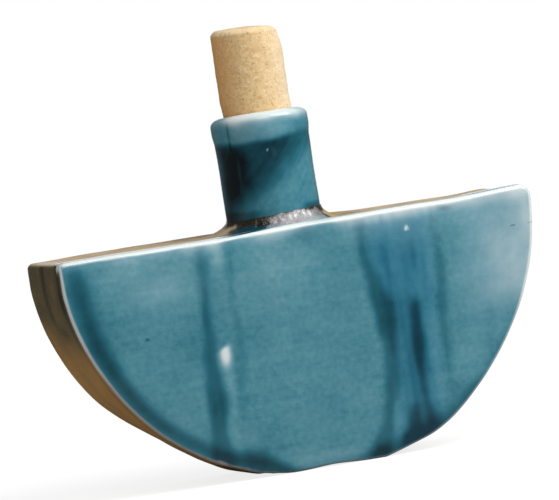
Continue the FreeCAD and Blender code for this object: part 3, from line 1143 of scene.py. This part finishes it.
def glaze_look():
    """Glaze whose colour follows its thickness, over clay that shows where the glaze has drawn back."""
    look = Look("running_turquoise_glaze")
    thick = look.attribute("thick")
    calm = look.remap(thick, 0.47, 0.6, 1, 0.3)
    brushed = look.noise(420, 3, look.stretched((0.07, 0.3, 1)), 0.6)
    mottle = look.sum(look.sum(0, look.noise(480, 3), 0.22), brushed, 0.13)
    thick = look.sum(thick, look.noise(75, 4), 0.19)
    thick = look.math("ADD", thick, look.times(mottle, calm))
    deep_blue = look.mix(look.remap(thick, 0.5, 0.85), BLUE, DEEP_BLUE)
    colour = look.tint(look.ramp(thick, GLAZE_STOPS), look.attribute("blue"), 0.6, deep_blue)
    # The milk carries pale glaze and the painted highlights and reflections
    milk_and_highlight = look.sum(look.attribute("milk_and_highlight"), look.noise(160, 3), 0.1)
    veil = look.mix(look.remap(milk_and_highlight, 0.25, 0.8), HAZE, MILK)
    colour = look.mix(look.remap(milk_and_highlight, 0.04, 1, 0, 0.95), colour, veil)
    speck = look.remap(look.noise(1100, 1), 0.74, 0.8)
    colour = look.tint(colour, speck, 0.25, (20, 48, 56))
    colour = look.mix(corner_crack(look), colour, (34, 58, 68))

    ragged = look.remap(look.sum(look.attribute("bare"), look.noise(500, 4), 0.45), 0.2, 0.8)
    clay, streak = clay_colour(look)
    ripple = look.bump(look.noise(120, 3), 0.25, 0.18)
    return look.finish({
        "Base Color": look.mix(ragged, colour, clay),
        "Roughness": look.remap(ragged, 0, 1, 0.14, 0.62),
        "Specular IOR Level": look.remap(ragged, 0, 1, wet_sheen, dry_sheen),
        "Normal": look.bump(look.math("ADD", look.noise(900, 2), streak), 0.05, 0.2, ripple),
    })


def corner_crack(look):
    """Share of a fine broken line across the front, just under the right corner."""
    line_depth, line_start, line_end, half_width = 11.2, 75.5, 86, 0.28
    place = look.axes(look.place)
    height = look.sum(place["Z"], look.noise(90, 2), 2.4 * MM)
    off_line = look.math("ABSOLUTE", look.math("SUBTRACT", height, (deck_z - line_depth) * MM))
    share = look.remap(off_line, half_width * MM, 0.3 * half_width * MM)
    for low, high in ((line_start, line_start + 1), (line_end, line_end - 1)):
        share = look.times(share, look.remap(place["X"], low * MM, high * MM))
    in_front = look.remap(place["Y"], -0.8 * half_depth * MM, -0.9 * half_depth * MM)
    dashes = look.remap(look.noise(380, 1, look.stretched((1, 0.1, 0.1))), 0.46, 0.54)
    return look.times(look.times(share, in_front), look.times(dashes, 0.65))


def clay_look(name, clay_tone=None):
    """Bare brown stoneware, dry and streaked."""
    look = Look(name)
    colour, streak = clay_colour(look, clay_tone)
    strokes = look.bump(streak, 0.2, 0.35)
    return look.finish({
        "Base Color": colour,
        "Roughness": look.remap(look.noise(220, 3), 0.3, 0.7, 0.5, 0.68),
        "Specular IOR Level": dry_sheen,
        "Normal": look.bump(look.noise(1300, 4), 0.12, 0.5, strokes),
    })


def coil_look():
    """The luting coil: the same clay under a thin wet-looking skin of glaze, with painted glints."""
    look = Look("knobbly_luting_clay")
    grey = look.sum(look.attribute("grey"), look.noise(600, 3), 0.5)
    pool = look.mix(look.remap(grey, 0.3, 0.9), (16, 58, 70), (146, 162, 166))
    colour = look.mix(look.remap(grey, 0.35, 0.95), clay_colour(look)[0], (150, 146, 148))
    colour = look.mix(look.attribute("glazed"), colour, pool)
    glint_spots = look.remap(look.noise(500, 1), 0.3, 0.48)
    wet = look.attribute("wet")
    knobs = look.times(look.noise(1100, 3), look.remap(wet, 0, 1, 0.12, 1))
    return look.finish({
        # The painted glints, near white
        "Base Color": look.mix(look.times(glint_spots, look.attribute("glint")), colour, (236, 234, 238)),
        "Roughness": look.remap(wet, 0, 1, 0.6, 0.12),
        "Normal": look.bump(knobs, 0.6, 0.9),
    })


def cork_look():
    """Pressed cork: fine pale grains of many shades with small dark specks between them."""
    look = Look("pressed_cork")
    cells = look.node("ShaderNodeTexVoronoi", {"Vector": look.warped(900, 0.0009), "Scale": 900})
    shade = look.node("ShaderNodeSeparateColor", {"Color": cells.outputs["Color"]}).outputs["Red"]
    tone = look.sum(0.5, shade, 0.28)
    tone = look.sum(tone, look.noise(1700, 4, roughness=0.7), 0.75)
    tone = look.sum(tone, look.noise(260, 3), 0.28)
    # Painted warm shade on the left of the cork
    colour = look.tint(look.ramp(tone, CORK_STOPS), look.attribute("warm_painted_shade"), 0.7, (228, 154, 66))
    # Painted highlight on the right and the crown
    colour = look.tint(colour, look.attribute("painted_highlight"), 0.35, (240, 232, 214))
    speck = look.remap(look.noise(1500, 2), 0.6, 0.7)
    return look.finish({
        "Base Color": look.tint(colour, speck, 0.5, (126, 86, 46)),
        "Roughness": look.remap(speck, 0, 1, 0.8, 0.92),
        "Normal": look.bump(look.math("ADD", shade, look.noise(1800, 3)), 0.1, 0.35),
    })


# Build, with each surface a material and the slot it stands for
glaze = glaze_look(), "turquoise_glaze"
glazed_clay = glaze[0], "brown_stoneware"
clay = clay_look("bare_brown_stoneware"), "brown_stoneware"
coil = coil_look(), "brown_stoneware"
cork = cork_look(), "cork"

face_slab("glazed_front", "front_slab", -1, front_arris, relief_room, front_relief, paint_front, glaze)
face_slab("glazed_back", "back_slab", 1, back_arris, back_room, plain_relief, paint_back, glaze)
edge_strip(clay)
top_slab(glazed_clay)
neck_tube(glaze)
lip_collar(glaze)
luting_coil(coil)
cork_stopper(cork)

inner_clay = clay_look("inner_seam_stoneware", clay_tone=0.4)
for node in ("front_seam_coil", "back_seam_coil", "left_corner_coil", "right_corner_coil"):
    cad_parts[node].data.materials.clear()
    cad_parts[node].data.materials.append(inner_clay)


# Stage
camera_azimuth, camera_elevation, camera_roll = -17.17, 3.52, -8.21
white = (1, 1, 1, 1)
deck_middle = Vector((0, 0, deck_z * MM))


def direction(azimuth, elevation):
    """Direction from the flask to a place round it, from two angles in degrees."""
    a, e = math.radians(azimuth), math.radians(elevation)
    return Vector((math.sin(a) * math.cos(e), -math.cos(a) * math.cos(e), math.sin(e)))


def make_floor():
    """A small round pale floor: white to the camera where it is lit, so that it runs out into white."""
    radius, steps = 0.32, 96
    grey, glow = 0.26, 0.81
    angles = np.linspace(0, 2 * math.pi, steps, endpoint=False)
    ring = [(radius * math.cos(a), radius * math.sin(a), 0) for a in angles]
    mesh = bpy.data.meshes.new("floor")
    mesh.from_pydata(ring, [], [tuple(range(steps))])
    look = Look("pale_floor")
    seen = look.node("ShaderNodeLightPath").outputs["Is Camera Ray"]
    mesh.materials.append(look.finish({
        "Base Color": (grey, grey, grey, 1),
        "Roughness": 1,
        "Specular IOR Level": 0,
        "Emission Color": white,
        "Emission Strength": look.times(seen, glow),
    }))
    floor = new_object("floor", mesh)


def make_world():
    """White to the camera and behind the object, and a quiet room on its other sides."""
    room_left, room_right, room_in_gloss, backdrop_strength = 0.46, 0.3, 0.1, 1
    facing = math.radians(camera_azimuth)
    straight_back = (-math.sin(facing), math.cos(facing), 0)
    world = bpy.data.worlds.new("studio")
    bpy.context.scene.world = world
    world.use_nodes = True
    nodes = Nodes(world.node_tree)
    path = nodes.node("ShaderNodeLightPath").outputs
    around = nodes.node("ShaderNodeTexCoord").outputs["Generated"]
    behind = nodes.node("ShaderNodeVectorMath", {0: around, 1: straight_back}, operation="DOT_PRODUCT")
    backdrop = nodes.remap(behind.outputs["Value"], 0.955, 0.985, room_in_gloss, backdrop_strength)
    glossy = nodes.times(path["Is Glossy Ray"], backdrop)
    room = nodes.remap(nodes.axes(around)["X"], -1, 1, room_left, room_right)
    diffuse = nodes.times(path["Is Diffuse Ray"], room)
    seen = nodes.math("MAXIMUM", path["Is Camera Ray"], path["Is Transmission Ray"])
    background = nodes.tree.nodes["Background"].inputs
    nodes.feed(background["Color"], white)
    nodes.feed(background["Strength"], nodes.math("MAXIMUM", seen, nodes.math("MAXIMUM", glossy, diffuse)))


def make_lamp(name, azimuth, elevation, distance, size, power):
    """A square soft lamp that faces the middle of the flask."""
    data = bpy.data.lights.new(name, "AREA")
    data.size = size
    data.energy = power
    lamp = new_object(name, data)
    away = direction(azimuth, elevation)
    lamp.location = deck_middle + away * distance
    lamp.rotation_mode = "QUATERNION"
    lamp.rotation_quaternion = away.to_track_quat("Z", "Y")


def make_camera():
    """A long lens, a little above the deck and to its left, and rolled, as in the photograph."""
    azimuth, roll = math.radians(camera_azimuth), math.radians(camera_roll)
    distance, sensor = 2.889, 36
    image_width, pixels_per_metre = 559, 2888
    deck_right, deck_up = -1, 23.7  # pixels from the middle of the image to the middle of the deck

    back = direction(camera_azimuth, camera_elevation)
    level = Vector((math.cos(azimuth), math.sin(azimuth), 0))
    upright = back.cross(level)
    right = math.cos(roll) * level + math.sin(roll) * upright
    up = math.cos(roll) * upright - math.sin(roll) * level
    target = deck_middle - (right * deck_right + up * deck_up) / pixels_per_metre

    data = bpy.data.cameras.new("camera")
    data.sensor_width = sensor
    data.lens = sensor * pixels_per_metre * distance / image_width
    camera = new_object("camera", data)
    axes = Matrix((right, up, back)).transposed().to_4x4()
    camera.matrix_world = Matrix.Translation(target + back * distance) @ axes
    bpy.context.scene.camera = camera


make_floor()
make_world()
make_lamp("key", azimuth=48, elevation=40, distance=1.3, size=0.9, power=17)
make_lamp("front_fill", azimuth=-5, elevation=35, distance=1.6, size=0.8, power=5)
make_camera()
bpy.context.scene.view_settings.view_transform = "Standard"
